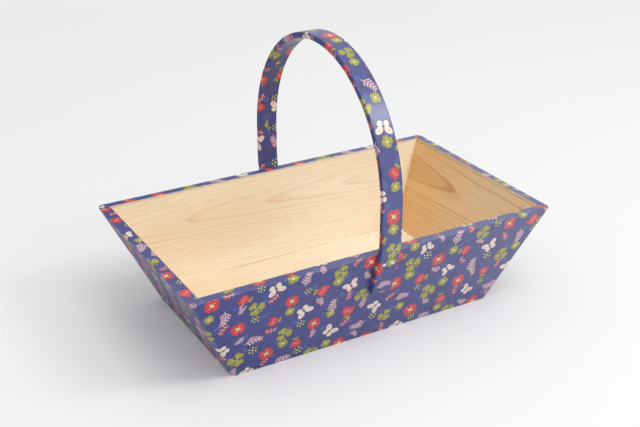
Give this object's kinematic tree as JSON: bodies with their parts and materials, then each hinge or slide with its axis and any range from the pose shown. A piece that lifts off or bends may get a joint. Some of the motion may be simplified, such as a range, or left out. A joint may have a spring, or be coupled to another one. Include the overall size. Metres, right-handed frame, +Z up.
{
  "type": "trug garden basket",
  "caption": "Long wooden trug with leaning board walls, a printed covering over the rim and a tall flat bent handle across the middle.",
  "frame": {"origin": "on the floor, under the middle of the basket", "axes": "+X along the basket's length, +Y across it towards the back, +Z up"},
  "size_m": [0.4, 0.2526, 0.2872],
  "materials": {
    "base_board": "smooth bare pine",
    "front_side_board": "smooth bare pine",
    "back_side_board": "smooth bare pine",
    "left_end_board": "smooth bare pine",
    "right_end_board": "smooth bare pine, darker growth bands",
    "handle_wood": "bent strip, hidden under its covering",
    "printed_covering": "satin lacquered sheet, small flower print on indigo",
    "nail_heads": "bright domed heads",
    "brads": "plain steel"
  },
  "bodies": {
    "root": {"base_board": "base_board", "front_side_board": "front_side_board", "back_side_board": "back_side_board", "left_end_board": "left_end_board", "right_end_board": "right_end_board", "front_covering": "printed_covering", "back_covering": "printed_covering", "left_end_covering": "printed_covering", "right_end_covering": "printed_covering", "base_covering": "printed_covering", "handle_covering": "printed_covering", "front_handle_nails": "nail_heads", "back_handle_nails": "nail_heads", "front_left_corner_brads": "brads", "front_right_corner_brads": "brads", "back_left_corner_brads": "brads", "back_right_corner_brads": "brads", "front_base_brads": "brads", "back_base_brads": "brads", "left_base_brads": "brads", "right_base_brads": "brads", "handle_strip": "handle_wood"}
  },
  "joints": []
}
